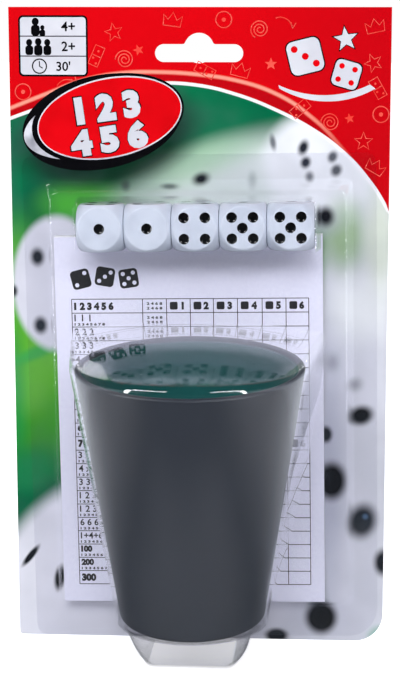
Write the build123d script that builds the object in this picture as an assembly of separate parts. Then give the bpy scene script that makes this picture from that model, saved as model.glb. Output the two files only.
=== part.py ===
from build123d import *
from math import acos, atan2, cos, hypot, radians, sin, tan
import os

# A dice cup game sold on a hang card. It stands on the card's lower edge and on the flat
# foot of its clear blister, which holds a dice cup, a row of five dice and a score pad.
# All of it is built with the card's front face on the plane y = 0 and its lower edge at
# z = 0, with the blister towards -Y. At the end the pack moves back along +Y by half its
# depth, which puts the origin under the middle of its box. All lengths are millimetres.

# Hang card, with one rounded corner low on the right
CARD_WIDTH = 130.0
CARD_HEIGHT = 222.0
CARD_THICKNESS = 0.6
CARD_ROUND_CORNER = 10.0
CARD_NIPPED_CORNER = 1.2

# Hang slot: a long slot with a round hump in the middle of its upper side
SLOT_WIDTH = 30.0
SLOT_HEIGHT = 6.0
SLOT_HUMP_RADIUS = 5.1
SLOT_HUMP_RISE = 1.7
SLOT_HUMP_FILLET = 1.0
SLOT_BELOW_TOP_EDGE = 15.4

# Clear blister: sheet thickness and the flange that is sealed to the card
BLISTER_WALL = 0.4
FLANGE_BESIDE_TRAY = 7.7
FLANGE_ABOVE_TRAY = 8.5
FLANGE_BOTTOM = 1.0
FLANGE_CORNER = 4.0
FLANGE_CORNER_AT_CARD_ROUND = 10.5
# The flange, tray, dice and pad sit turned on the card, about the middle of the dice row
BLISTER_TURN_DEGREES = 0.9

# Shallow tray that stands up from the flange, as large as the pad and the dice need. Its
# front face is set in from where its walls leave the flange.
TRAY_BOTTOM = 12.0
TRAY_DEPTH = 8.0
TRAY_ABOVE_DICE = 6.95
TRAY_SET_IN_AT_SIDES = 2.5
TRAY_SET_IN_AT_ENDS = 3.4
TRAY_CORNER = 3.2
TRAY_EDGE_ROUND = 0.9

# Dice. The shares are shares of a die's size.
DIE_SIZE = 15.9
DIE_BALL_RADIUS_SHARE = 0.673
DIE_EDGE_ROUND = 0.9
DICE_SIDE_GAP = 0.1
DICE_GAP_TO_PAD = 0.5
DICE_LAP_OVER_PAD = 3.85
PIP_DIAMETER_SHARE = 0.226
PIP_SPREAD_SHARE = 0.223
PIP_SPREAD_OF_SIX_SHARE = 0.258
PIP_DEPTH = 0.75
PIP_PAINT_DEPTH = 0.3

# Dice pocket in the tray's front
DICE_POCKET_CLEARANCE = 0.3
DICE_POCKET_SET_IN = 2.0
DICE_POCKET_CORNER = 2.0
DICE_POCKET_EDGE_ROUND = 0.7

# Score pad: grey board, loose sheets, a printed top sheet and a strip of padding glue
PAD_WIDTH = 92.4
PAD_HEIGHT = 130.1
PAD_BOARD_THICKNESS = 1.1
SHEET_THICKNESS = 0.1
SHEETS_UNDER_TOP = 33
GLUE_THICKNESS = 0.3
PAD_SIDE_GAP = 1.3
PAD_END_GAP = 0.5
PAD_ROOM_BESIDE = 8.9

# Dice cup, leaning forward at its rim
CUP_RIM_RADIUS = 37.5
CUP_BASE_RADIUS = 24.3
CUP_HEIGHT = 86.7
CUP_WALL = 2.0
CUP_FLOOR = 2.6
CUP_BASE_ROUND = 1.8
CUP_RIM_ROUND = 0.8
CUP_FOOT_RING_WIDTH = 4.3
CUP_RECESS_DEPTH = 0.8
CUP_LEAN_DEGREES = 5.8
CUP_SIDE_SHIFT = 0.25
CUP_GAP_TO_PAD = 1.2
CUP_GAP_TO_FLOOR = 0.4

# Felt that lines the cup
FELT_THICKNESS = 0.9
FELT_BELOW_RIM = 1.4
FELT_GLUE_GAP = 0.05

# Cup pocket: a deep half round that narrows downwards, under a domed roof that falls more
# and more steeply to the front. At the card it is wider than the cup by a spread at each
# side, given at three heights.
CUP_POCKET_GAP = 1.3
CUP_POCKET_FLOOR = 17.4
CUP_POCKET_MIDDLE_SHARE = 0.577
CUP_POCKET_SPREAD_AT_FLOOR = 2.1
CUP_POCKET_SPREAD_AT_MIDDLE = 8.0
CUP_POCKET_SPREAD_AT_ROOF = 6.2
CUP_POCKET_ROOM_OVER_RIM = 9.4
CUP_POCKET_ROOF_FALL = 9.7
CUP_POCKET_ROOF_CROWN_AT_CARD = 3.5
CUP_POCKET_ROOF_CROWN_AT_FRONT = 9.0
CUP_POCKET_ROOF_ROUND = 3.0
ROOF_STATION_SHARES = [0, 0.5, 1]
CUP_POCKET_FLOOR_ROUND = 2.2

# Foot under the cup pocket, as wide and as deep as at its three heights
FOOT_SIDE_SHIFT = -0.5
FOOT_SOLE_SIDE_SHIFT = -1.2
FOOT_SOLE_WIDTH = 29.3
FOOT_SOLE_DEPTH = 31.0
FOOT_SOLE_CORNER = 3.5
FOOT_SHIN_HEIGHT = 6.0
FOOT_SHIN_WIDTH = 35.5
FOOT_SHIN_DEPTH = 38.2
FOOT_SHIN_CORNER = 4.5
FOOT_TOP_WIDTH = 42.0
FOOT_TOP_DEPTH = 50.5
FOOT_TOP_CORNER = 8.0
FOOT_LAP_INTO_POCKET = 1.6

# How far cutting shapes run past what they cut
OVERRUN = 2.0

# Sizes that follow from the ones above
PAD_THICKNESS = PAD_BOARD_THICKNESS + SHEET_THICKNESS * SHEETS_UNDER_TOP + SHEET_THICKNESS
SET_IN_AT_PAD_SHARE = PAD_THICKNESS / (TRAY_DEPTH - BLISTER_WALL)
TRAY_WALL_BESIDE_PAD = BLISTER_WALL + TRAY_SET_IN_AT_SIDES * SET_IN_AT_PAD_SHARE
TRAY_WALL_BELOW_PAD = BLISTER_WALL + TRAY_SET_IN_AT_ENDS * SET_IN_AT_PAD_SHARE
TRAY_WIDTH = 2 * TRAY_WALL_BESIDE_PAD + PAD_SIDE_GAP + PAD_WIDTH + PAD_ROOM_BESIDE
PAD_LEFT = -TRAY_WIDTH / 2 + TRAY_WALL_BESIDE_PAD + PAD_SIDE_GAP
PAD_BOTTOM = TRAY_BOTTOM + TRAY_WALL_BELOW_PAD + PAD_END_GAP
PAD_TOP = PAD_BOTTOM + PAD_HEIGHT
DICE_BACK = PAD_THICKNESS + DICE_GAP_TO_PAD
DICE_FRONT = DICE_BACK + DIE_SIZE
DICE_BOTTOM = PAD_TOP - DICE_LAP_OVER_PAD
DICE_ROW_HEIGHT = DICE_BOTTOM + DIE_SIZE / 2
TRAY_TOP = DICE_BOTTOM + DIE_SIZE + TRAY_ABOVE_DICE
FLANGE_WIDTH = TRAY_WIDTH + 2 * FLANGE_BESIDE_TRAY
FLANGE_TOP = TRAY_TOP + FLANGE_ABOVE_TRAY
DIE_PITCH = DIE_SIZE + DICE_SIDE_GAP
PIP_RADIUS = DIE_SIZE * PIP_DIAMETER_SHARE / 2
LEAN = radians(CUP_LEAN_DEGREES)
CUP_RIM_DEPTH = PAD_THICKNESS + CUP_GAP_TO_PAD + CUP_RIM_RADIUS * cos(LEAN)
CUP_BASE_DEPTH = CUP_RIM_DEPTH - CUP_HEIGHT * sin(LEAN)
CUP_BASE_DROP = (CUP_BASE_RADIUS - CUP_BASE_ROUND) * sin(LEAN) + CUP_BASE_ROUND * (1 - cos(LEAN))
CUP_BASE_HEIGHT = CUP_POCKET_FLOOR + BLISTER_WALL + CUP_GAP_TO_FLOOR + CUP_BASE_DROP
CUP_TAPER = (CUP_RIM_RADIUS - CUP_BASE_RADIUS) / CUP_HEIGHT
CUP_RIM_HEIGHT = CUP_BASE_HEIGHT + CUP_HEIGHT * cos(LEAN)
CUP_POCKET_ROOF_BACK = CUP_RIM_HEIGHT + CUP_POCKET_ROOM_OVER_RIM
CUP_POCKET_HEIGHT = CUP_POCKET_ROOF_BACK - CUP_POCKET_FLOOR

# What each die shows: its lower face and its front face
DICE_DOWN_AND_FRONT = [
    ("three", "one"),
    ("five", "one"),
    ("five", "four"),
    ("six", "five"),
    ("six", "five"),
]

# Directions of a die's faces before it is turned, with opposite faces adding up to seven
FACE_DIRECTION = {
    "one": Vector(0, 0, 1),
    "two": Vector(0, -1, 0),
    "three": Vector(1, 0, 0),
    "four": Vector(-1, 0, 0),
    "five": Vector(0, 1, 0),
    "six": Vector(0, 0, -1),
}


def turned_on_card(shape):
    """Turn a straight shape with the blister, about the middle of the dice row."""
    pivot = Pos(0, 0, DICE_ROW_HEIGHT)
    return pivot * Rot(0, -BLISTER_TURN_DEGREES, 0) * pivot.inverse() * shape


def card_plane(depth, height=0):
    """Plane parallel to the card, with x to the right and y upwards."""
    return Plane(origin=(0, -depth, height), x_dir=(1, 0, 0), z_dir=(0, -1, 0))


def slab(sketch, back, front):
    """Solid of a sketch drawn on the card's plane, between two depths in front of the card."""
    return extrude(card_plane(back) * sketch, amount=front - back)


def upright_rectangle(left, right, bottom, top):
    """Rectangle on the card's plane, from its four limits."""
    middle = Pos((left + right) / 2, (bottom + top) / 2)
    return middle * Rectangle(right - left, top - bottom)


def corner_of(sketch, right_side):
    """Lowest corner of a sketch on its right or its left side."""
    lower = sketch.vertices().group_by(Axis.Y)[0]
    return lower.sort_by(Axis.X)[-1 if right_side else 0]


def hang_slot():
    straight = SlotOverall(SLOT_WIDTH, SLOT_HEIGHT)
    outline = straight + Pos(0, SLOT_HUMP_RISE) * Circle(SLOT_HUMP_RADIUS)
    inner_corners = [v for v in outline.vertices()
                     if abs(v.X) < SLOT_HUMP_RADIUS and v.Y > 0]
    outline = fillet(inner_corners, SLOT_HUMP_FILLET)
    return Pos(0, CARD_HEIGHT - SLOT_BELOW_TOP_EDGE) * outline


def backing_card():
    outline = upright_rectangle(-CARD_WIDTH / 2, CARD_WIDTH / 2, 0, CARD_HEIGHT)
    outline = fillet(corner_of(outline, True), CARD_ROUND_CORNER)
    outline = fillet(corner_of(outline, False), CARD_NIPPED_CORNER)
    return slab(outline - hang_slot(), -CARD_THICKNESS, 0)


def flange():
    half = FLANGE_WIDTH / 2
    outline = upright_rectangle(-half, half, FLANGE_BOTTOM, FLANGE_TOP)
    outline = fillet(outline.vertices().group_by(Axis.Y)[-1], FLANGE_CORNER)
    outline = fillet(corner_of(outline, True), FLANGE_CORNER_AT_CARD_ROUND)
    outline = fillet(corner_of(outline, False), FLANGE_CORNER)
    return turned_on_card(slab(outline, 0, BLISTER_WALL))


def drafted_block(back, front, width, bottom, top, side_in, end_in, corner, edge_round):
    """Block with rounded corners and front edges, and a front face that is set in."""
    middle = (bottom + top) / 2
    wide = RectangleRounded(width, top - bottom, corner)
    narrow = RectangleRounded(width - 2 * side_in, top - bottom - 2 * end_in, corner)
    block = loft([card_plane(back, middle) * wide, card_plane(front, middle) * narrow])
    front_edges = block.faces().sort_by(Axis.Y)[0].edges()
    return turned_on_card(fillet(front_edges, edge_round))


def tray_block(inset):
    """The tray's outside, or with an inset its inside."""
    return drafted_block(0, TRAY_DEPTH - inset, TRAY_WIDTH - 2 * inset, TRAY_BOTTOM + inset,
                         TRAY_TOP - inset, TRAY_SET_IN_AT_SIDES, TRAY_SET_IN_AT_ENDS,
                         TRAY_CORNER - inset, TRAY_EDGE_ROUND - inset)


def dice_block(inset):
    """The dice pocket's outside, or with an inset its inside."""
    row = DIE_PITCH * len(DICE_DOWN_AND_FRONT) - DICE_SIDE_GAP
    room = DICE_POCKET_CLEARANCE + BLISTER_WALL - inset
    half_width = row / 2 + room + DICE_POCKET_SET_IN
    half_height = DIE_SIZE / 2 + room + DICE_POCKET_SET_IN
    return drafted_block(0, DICE_FRONT + room, 2 * half_width, DICE_ROW_HEIGHT - half_height,
                         DICE_ROW_HEIGHT + half_height, DICE_POCKET_SET_IN, DICE_POCKET_SET_IN,
                         DICE_POCKET_CORNER - inset, DICE_POCKET_EDGE_ROUND - inset)


def cup_radius_at(height):
    return CUP_BASE_RADIUS + (height - CUP_BASE_HEIGHT) * CUP_TAPER


def cup_pocket_section(height, spread, inset):
    """Flat outline at one height: a round front with two sides that spread to the card."""
    radius = cup_radius_at(height) + CUP_POCKET_GAP + BLISTER_WALL - inset
    centre = CUP_BASE_DEPTH + (height - CUP_BASE_HEIGHT) * tan(LEAN)
    half = cup_radius_at(height) + spread - inset
    touch = atan2(centre, half) - acos(radius / hypot(half, centre))
    touch_x = radius * cos(touch)
    touch_y = radius * sin(touch) - centre
    right = Line((half, 0), (touch_x, touch_y))
    front = ThreePointArc((touch_x, touch_y), (0, -centre - radius), (-touch_x, touch_y))
    left = Line((-touch_x, touch_y), (-half, 0))
    back = Line((-half, 0), (half, 0))
    return Pos(CUP_SIDE_SHIFT, 0, height) * make_face([right, front, left, back])


def space_under_roof(inset):
    """Everything below the cup pocket's domed roof, through its shape at three depths."""
    half = cup_radius_at(CUP_POCKET_ROOF_BACK) + CUP_POCKET_SPREAD_AT_ROOF + OVERRUN
    reach = CUP_RIM_DEPTH + CUP_RIM_RADIUS + CUP_POCKET_GAP + OVERRUN
    more_crown = CUP_POCKET_ROOF_CROWN_AT_FRONT - CUP_POCKET_ROOF_CROWN_AT_CARD
    sections = []
    for share in ROOF_STATION_SHARES:
        middle = CUP_POCKET_ROOF_BACK - inset - CUP_POCKET_ROOF_FALL * share * share
        side = middle - CUP_POCKET_ROOF_CROWN_AT_CARD - more_crown * share
        crown = ThreePointArc((-half, side), (0, middle), (half, side))
        below = Polyline((half, side), (half, 0), (-half, 0), (-half, side))
        depth = (reach + OVERRUN) * share - OVERRUN
        sections.append(card_plane(depth) * make_face([crown, below]))
    return Pos(CUP_SIDE_SHIFT, 0, 0) * loft(sections)


def cup_pocket_block(inset):
    """The cup pocket's outside, or with an inset its inside."""
    middle = CUP_POCKET_FLOOR + CUP_POCKET_HEIGHT * CUP_POCKET_MIDDLE_SHARE
    body = loft([
        cup_pocket_section(CUP_POCKET_FLOOR + inset, CUP_POCKET_SPREAD_AT_FLOOR, inset),
        cup_pocket_section(middle, CUP_POCKET_SPREAD_AT_MIDDLE, inset),
        cup_pocket_section(CUP_POCKET_ROOF_BACK + OVERRUN, CUP_POCKET_SPREAD_AT_ROOF, inset),
    ])
    body = body & space_under_roof(inset)
    roof = body.faces().sort_by(Axis.Z)[-1]
    body = fillet(edges_off_card(roof), CUP_POCKET_ROOF_ROUND - inset)
    floor = body.faces().sort_by(Axis.Z)[0]
    return fillet(edges_off_card(floor), CUP_POCKET_FLOOR_ROUND - inset)


def edges_off_card(face):
    """Edges of a face, without the one that lies on the card's plane."""
    return face.edges().sort_by(Axis.Y)[:-1]


def foot_section(height, side_shift, width, depth, corner, inset):
    """Rounded rectangle at one height, centred on the card's plane."""
    outline = RectangleRounded(width - 2 * inset, 2 * (depth - inset), corner - inset)
    return Pos(side_shift, 0, height) * outline


def foot_block(inset):
    """The foot's outside, or with an inset its inside, as far back as the card."""
    top = CUP_POCKET_FLOOR + FOOT_LAP_INTO_POCKET
    body = loft([
        foot_section(inset, FOOT_SOLE_SIDE_SHIFT, FOOT_SOLE_WIDTH, FOOT_SOLE_DEPTH,
                     FOOT_SOLE_CORNER, inset),
        foot_section(FOOT_SHIN_HEIGHT, FOOT_SIDE_SHIFT, FOOT_SHIN_WIDTH, FOOT_SHIN_DEPTH,
                     FOOT_SHIN_CORNER, inset),
        foot_section(top, FOOT_SIDE_SHIFT, FOOT_TOP_WIDTH, FOOT_TOP_DEPTH, FOOT_TOP_CORNER, inset),
    ])
    return split(body, Plane.XZ, keep=Keep.TOP)


def clear_blister():
    """One sheet: the flange, with the tray, both pockets and the foot formed out of it."""
    outside = flange() + tray_block(0) + dice_block(0) + cup_pocket_block(0) + foot_block(0)
    inside = tray_block(BLISTER_WALL) + dice_block(BLISTER_WALL)
    inside = inside + cup_pocket_block(BLISTER_WALL) + foot_block(BLISTER_WALL)
    return outside - inside


def pad_layer(back, front):
    """One flat layer of the pad, under the strip of glue along its upper edge."""
    right = PAD_LEFT + PAD_WIDTH
    outline = upright_rectangle(PAD_LEFT, right, PAD_BOTTOM, PAD_TOP - GLUE_THICKNESS)
    return turned_on_card(slab(outline, back, front))


def pad_board():
    return pad_layer(0, PAD_BOARD_THICKNESS)


def pad_sheets():
    backs = [PAD_BOARD_THICKNESS + SHEET_THICKNESS * i for i in range(SHEETS_UNDER_TOP)]
    return Compound([pad_layer(back, back + SHEET_THICKNESS) for back in backs])


def pad_top_sheet():
    return pad_layer(PAD_THICKNESS - SHEET_THICKNESS, PAD_THICKNESS)


def pad_glue_strip():
    right = PAD_LEFT + PAD_WIDTH
    outline = upright_rectangle(PAD_LEFT, right, PAD_TOP - GLUE_THICKNESS, PAD_TOP)
    return turned_on_card(slab(outline, 0, PAD_THICKNESS))


def placed_cup(shape):
    """Lean a shape built upright about the cup's axis, and set it in the pocket."""
    place = Pos(CUP_SIDE_SHIFT, -CUP_BASE_DEPTH, CUP_BASE_HEIGHT)
    return place * Rot(CUP_LEAN_DEGREES, 0, 0) * shape


def cone(low, high, wall):
    """Solid cone that runs inside the cup's outer face by a wall, between two heights."""
    low_radius = CUP_BASE_RADIUS + low * CUP_TAPER - wall
    high_radius = CUP_BASE_RADIUS + high * CUP_TAPER - wall
    upright = (Align.CENTER, Align.CENTER, Align.MIN)
    return Pos(0, 0, low) * Cone(low_radius, high_radius, high - low, align=upright)


def dice_cup():
    body = cone(0, CUP_HEIGHT, 0)
    body = fillet(body.edges().sort_by(Axis.Z)[0], CUP_BASE_ROUND)
    body = body - cone(CUP_FLOOR, CUP_HEIGHT + OVERRUN, CUP_WALL)
    body = fillet(body.edges().group_by(Axis.Z)[-1], CUP_RIM_ROUND)
    recess = Cylinder(CUP_BASE_RADIUS - CUP_FOOT_RING_WIDTH, 2 * CUP_RECESS_DEPTH)
    return placed_cup(body - recess)


def cup_felt_sleeve():
    outer = CUP_WALL + FELT_GLUE_GAP
    low = CUP_FLOOR + FELT_GLUE_GAP
    high = CUP_HEIGHT - FELT_BELOW_RIM
    sleeve = cone(low, high, outer)
    hollow = cone(low - OVERRUN, high + OVERRUN, outer + FELT_THICKNESS)
    return placed_cup(sleeve - hollow)


def cup_felt_disc():
    low = CUP_FLOOR + FELT_GLUE_GAP
    wall = CUP_WALL + FELT_GLUE_GAP + FELT_THICKNESS + FELT_GLUE_GAP
    return placed_cup(cone(low, low + FELT_THICKNESS, wall))


def pip_places(number):
    """Places of a face's pips, to the right of and above the face's middle."""
    spread = DIE_SIZE * PIP_SPREAD_SHARE
    spread_of_six = DIE_SIZE * PIP_SPREAD_OF_SIX_SHARE
    middle = [(0, 0)]
    slope_up = [(-spread, -spread), (spread, spread)]
    slope_down = [(-spread, spread), (spread, -spread)]
    columns = [(x, y) for x in (-spread, spread) for y in (-spread_of_six, 0, spread_of_six)]
    return {
        "one": middle,
        "two": slope_up,
        "three": slope_up + middle,
        "four": slope_up + slope_down,
        "five": slope_up + slope_down + middle,
        "six": columns,
    }[number]


def face_plane(number):
    """Plane on one face of an unturned die, with z pointing out of it."""
    out = FACE_DIRECTION[number]
    across = FACE_DIRECTION["five" if number in ("three", "four") else "three"]
    return Plane(origin=out * (DIE_SIZE / 2), x_dir=across, z_dir=out)


def dish(depth):
    """Ball that sinks a pip's dish of a given depth below the plane z = 0."""
    radius = (PIP_RADIUS * PIP_RADIUS + depth * depth) / (2 * depth)
    return Pos(0, 0, radius - depth) * Sphere(radius)


def at_all_pips(shape):
    """Copies of a shape at the 21 pips of an unturned die."""
    return [face_plane(number) * Pos(x, y) * shape
            for number in FACE_DIRECTION for x, y in pip_places(number)]


def placed_die(shape, index):
    """Turn a die to the faces that it shows, and set it in the row."""
    down, front = DICE_DOWN_AND_FRONT[index]
    up_side = -FACE_DIRECTION[down]
    front_side = FACE_DIRECTION[front]
    seen_by_die = Plane(origin=(0, 0, 0), x_dir=up_side.cross(front_side), z_dir=up_side)
    seen_by_pack = Plane(origin=(0, 0, 0), x_dir=Vector(0, 0, 1).cross(Vector(0, -1, 0)),
                         z_dir=(0, 0, 1))
    upright = seen_by_pack.location * seen_by_die.location.inverse()
    first = (DIE_PITCH - DIE_PITCH * len(DICE_DOWN_AND_FRONT)) / 2
    place = Pos(first + index * DIE_PITCH, -(DICE_BACK + DIE_SIZE / 2), DICE_ROW_HEIGHT)
    return turned_on_card(place * upright * shape)


def die_body():
    body = Box(DIE_SIZE, DIE_SIZE, DIE_SIZE) & Sphere(DIE_SIZE * DIE_BALL_RADIUS_SHARE)
    body = fillet(body.edges(), DIE_EDGE_ROUND)
    return body - at_all_pips(dish(PIP_DEPTH))


def die_pips():
    """Paint at the bottom of each dish, with a shallower dish of its own."""
    cut = dish(PIP_DEPTH)
    blank = Pos(0, 0, -PIP_DEPTH) * Cylinder(PIP_RADIUS, 2 * PIP_DEPTH)
    paint = (blank & cut) - dish(PIP_DEPTH - PIP_PAINT_DEPTH)
    return Compound(at_all_pips(paint))


def all_pieces():
    pieces = {
        "backing_card": backing_card(),
        "clear_blister": clear_blister(),
        "score_pad_board": pad_board(),
        "score_pad_sheets": pad_sheets(),
        "score_pad_top_sheet": pad_top_sheet(),
        "score_pad_glue_strip": pad_glue_strip(),
        "dice_cup": dice_cup(),
        "cup_felt_sleeve": cup_felt_sleeve(),
        "cup_felt_disc": cup_felt_disc(),
    }
    body = die_body()
    pips = die_pips()
    for index in range(len(DICE_DOWN_AND_FRONT)):
        pieces[f"die_{index + 1}"] = placed_die(body, index)
        pieces[f"die_{index + 1}_pips"] = placed_die(pips, index)
    return pieces


def main():
    os.makedirs("parts", exist_ok=True)
    pieces = all_pieces()
    front = pieces["clear_blister"].bounding_box().min.Y
    centred = Pos(0, -(front + CARD_THICKNESS) / 2, 0)
    for name, piece in pieces.items():
        export_step(centred * piece, f"parts/{name}.step")


main()
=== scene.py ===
import math

import bmesh
import bpy
from mathutils import Matrix, Vector


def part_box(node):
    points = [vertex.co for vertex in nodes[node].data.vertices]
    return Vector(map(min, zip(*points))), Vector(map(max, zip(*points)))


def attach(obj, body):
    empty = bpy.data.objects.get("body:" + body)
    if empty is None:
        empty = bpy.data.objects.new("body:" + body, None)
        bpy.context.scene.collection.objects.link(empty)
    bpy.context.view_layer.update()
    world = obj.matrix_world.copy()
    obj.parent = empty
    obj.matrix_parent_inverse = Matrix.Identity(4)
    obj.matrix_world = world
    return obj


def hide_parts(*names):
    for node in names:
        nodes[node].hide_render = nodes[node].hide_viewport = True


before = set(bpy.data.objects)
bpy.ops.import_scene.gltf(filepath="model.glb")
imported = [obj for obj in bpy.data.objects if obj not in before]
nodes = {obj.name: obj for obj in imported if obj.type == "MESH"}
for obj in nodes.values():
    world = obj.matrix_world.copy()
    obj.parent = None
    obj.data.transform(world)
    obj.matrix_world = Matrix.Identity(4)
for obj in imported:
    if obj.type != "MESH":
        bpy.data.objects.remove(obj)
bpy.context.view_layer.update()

# Lengths are in millimetres, turned to metres by MM, unless a comment says metres. A place on the
# card is x to the right of its middle and z above its lower edge.
MM = 0.001
# Where the printed faces of the card and of the pad lie along y, in metres.
CARD_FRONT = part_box("backing_card")[0].y
PAD_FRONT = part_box("score_pad_top_sheet")[0].y
# The blister's tray, the dice and the pad sit slightly turned on the card, about this height.
PACK_TURN = math.radians(0.9)
TURN_HEIGHT = 149.1
# One printed layer lies this far in front of the next, and the blister's flange in front of all.
INK_LAYER = 0.01
FLANGE_LIFT = 0.1
SMOOTH = "SMOOTHSTEP"
# Most of what a noise texture gives lies between these values.
NOISE_SPREAD = (0.3, 0.7)


# Small tools

def linear(hex_colour):
    """An sRGB hex colour as linear RGBA."""
    channels = [int(hex_colour[i:i + 2], 16) / 255 for i in (1, 3, 5)]
    return [c / 12.92 if c <= 0.04045 else ((c + 0.055) / 1.055) ** 2.4 for c in channels] + [1.0]


def add(tree, kind, inputs=(), out=0, **settings):
    """Add a shader node, set it up, set or link its inputs, and give back one of its outputs."""
    node = tree.nodes.new("ShaderNode" + kind)
    for name, value in settings.items():
        setattr(node, name, value)
    for name, value in inputs.items() if isinstance(inputs, dict) else enumerate(inputs):
        if isinstance(value, bpy.types.NodeSocket):
            tree.links.new(value, node.inputs[name])
        else:
            node.inputs[name].default_value = value
    return node.outputs[out] if node.outputs else None


def new_material(name):
    """An empty material: its node tree, and its object coordinates in millimetres."""
    material = bpy.data.materials.new(name)
    material.use_nodes = True
    tree = material.node_tree
    tree.nodes.clear()
    place = add(tree, "TexCoord", out="Object")
    scaled = add(tree, "VectorMath", (place, (1 / MM,) * 3), operation="MULTIPLY")
    return material, tree, scaled


def new_object(name, mesh, material):
    """An object with one finish, placed by its mesh alone."""
    piece = bpy.data.objects.new(name, mesh)
    bpy.context.scene.collection.objects.link(piece)
    mesh.materials.clear()
    mesh.materials.append(material)
    return piece


# Camera

# The photograph's camera: its place, with y counted from the card's front, its direction in
# radians, its focal length and the centre of its picture in the photograph's pixels.
CAMERA_PLACE = (47.5422, -601.4015, 209.5969)
YAW, PITCH, ROLL = -0.0571, 0.1636, -0.0017
FOCAL_PIXELS = 1757.0
CENTRE_X, CENTRE_Y = 237.33, 334.27
PHOTO_WIDTH, PHOTO_HEIGHT = 400, 676
SENSOR_SIZE = 36
NEAREST_SEEN = 10


def place_camera():
    """The photograph's camera: place, direction, focal length and shift of its centre."""
    forward = Vector((math.sin(YAW) * math.cos(PITCH), math.cos(YAW) * math.cos(PITCH),
                      -math.sin(PITCH)))
    level = Vector((math.cos(YAW), -math.sin(YAW), 0))
    steep = forward.cross(level)
    right = level * math.cos(ROLL) + steep * math.sin(ROLL)
    down = steep * math.cos(ROLL) - level * math.sin(ROLL)
    turned = Matrix((right, -down, -forward)).transposed().to_4x4()
    x, y, z = CAMERA_PLACE
    data = bpy.data.cameras.new("camera")
    data.sensor_width = SENSOR_SIZE
    data.lens = FOCAL_PIXELS / PHOTO_HEIGHT * SENSOR_SIZE
    data.shift_x = (PHOTO_WIDTH / 2 - CENTRE_X) / PHOTO_HEIGHT
    data.shift_y = (CENTRE_Y - PHOTO_HEIGHT / 2) / PHOTO_HEIGHT
    data.clip_start = NEAREST_SEEN * MM
    camera = bpy.data.objects.new("camera", data)
    camera.matrix_world = Matrix.Translation((x * MM, CARD_FRONT + y * MM, z * MM)) @ turned
    bpy.context.scene.collection.objects.link(camera)
    bpy.context.scene.camera = camera


# Studio

# Lamps: place, width and height in metres, power in watts. They look at the pack's middle.
LAMP_AIM = Vector((0, 0, 0.11))
SOFTBOX_LEFT = ((-0.63, -0.85, 0.72), 0.70, 0.18, 4.9)
SOFTBOX_RIGHT = ((0.69, -0.80, 0.66), 0.62, 0.18, 3.6)
SOFTBOX_TOP = ((0.0, -0.86, 0.84), 0.6, 0.6, 7.4)
SOFTBOX_BACK = ((0.2, 0.95, 0.72), 0.6, 0.6, 7.0)
STRIP_RIGHT = ((0.36, -0.25, 0.15), 0.028, 0.32, 0.6)
STRIP_LEFT = ((-0.36, -0.25, 0.15), 0.028, 0.32, 0.6)

# The room lights the pack from all sides at this strength, a little brighter higher up.
ROOM_STRENGTH = 0.40
ROOM_LOW, ROOM_HIGH = "#e6e7ec", "#f0f1f6"
ROOM_BRIGHTENS = (-0.2, 0.8)
# White as the camera sees it, and as the pack mirrors it.
WHITE, MIRRORED_WHITE = "#ffffff", "#e2ebf8"

# What the pack mirrors of the room is pale low behind it and beside it, and dark in front of it
# and overhead. Each pair is where the paleness starts and is full, as a part of the direction.
ROOM_BEHIND = (-0.1, 0.75)
ROOM_BESIDE = (0.45, 0.85)
ROOM_DOWN = (0.34, 0.08)
ROOM_DARK = "#22252c"

# What it mirrors of the floor is dark in front of it, with soft pale zones close to it and to
# its left and right, and white far out beside it. Each pair is where a stretch starts and is full,
# from front to back along y, to both sides along x, or along the sum of the two.
FLOOR_HALF_SIZE = 20000
FLOOR_PAPER, FLOOR_DARK = "#e6e6ea", "#1a1b1f"
DARK_FRONT_Y = (120.0, -60.0)
WHITE_BESIDE_SUM = (240.0, 420.0)
CLOSE_ZONE_BACK_Y, CLOSE_ZONE_FRONT_Y = (10.0, -45.0), (-145.0, -75.0)
CLOSE_ZONE_X, CLOSE_ZONE_SHARE = (110.0, 35.0), 0.6
SIDE_ZONE_X, SIDE_ZONE_FRONT_Y = (70.0, 210.0), (-270.0, -140.0)
# How much of the paper is dark to what mirrors it, outside the zones and in them.
DIM_OUTSIDE, DIM_IN_ZONE = 0.95, 0.50
# The floor glows white by itself: less round the pack, so that its shadow stays, and fully from
# far away. This share of the glow is mirrored from behind the pack.
GLOW_NEAR, GLOW_REACH = 0.72, (150.0, 900.0)
GLOW_BEHIND = 0.4


def area_light(name, place, width, height, power):
    """A softbox that looks at the middle of the pack and isn't seen itself."""
    data = bpy.data.lights.new(name, "AREA")
    data.shape = "RECTANGLE"
    data.size = width
    data.size_y = height
    data.energy = power
    lamp = bpy.data.objects.new(name, data)
    lamp.location = place
    lamp.rotation_euler = (LAMP_AIM - Vector(place)).to_track_quat("-Z", "Y").to_euler()
    lamp.visible_camera = False
    bpy.context.scene.collection.objects.link(lamp)
    return lamp


def hang_lamps():
    """Softboxes in front and behind, and two strips that only draw highlights along the upright
    edges and the cup's rim."""
    area_light("softbox_left", *SOFTBOX_LEFT)
    area_light("softbox_right", *SOFTBOX_RIGHT)
    # mirrored, these two would lay a veil over the varnish and the sheet
    area_light("softbox_top", *SOFTBOX_TOP).visible_glossy = False
    area_light("softbox_back", *SOFTBOX_BACK).visible_glossy = False
    for strip in (STRIP_LEFT, STRIP_RIGHT):
        area_light("highlight_strip", *strip).visible_diffuse = False


def studio_rays(tree):
    """Rays that see the studio: the camera's, those that glossy pieces mirror, and those that
    pass through."""
    return (add(tree, "LightPath", out=kind)
            for kind in ("Is Camera Ray", "Is Glossy Ray", "Is Transmission Ray"))


def studio_white(tree, glossy_ray):
    """The studio's white, cooler where it is mirrored."""
    return add(tree, "Mix", {0: glossy_ray, 6: linear(WHITE), 7: linear(MIRRORED_WHITE)}, out=2,
               data_type="RGBA")


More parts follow.
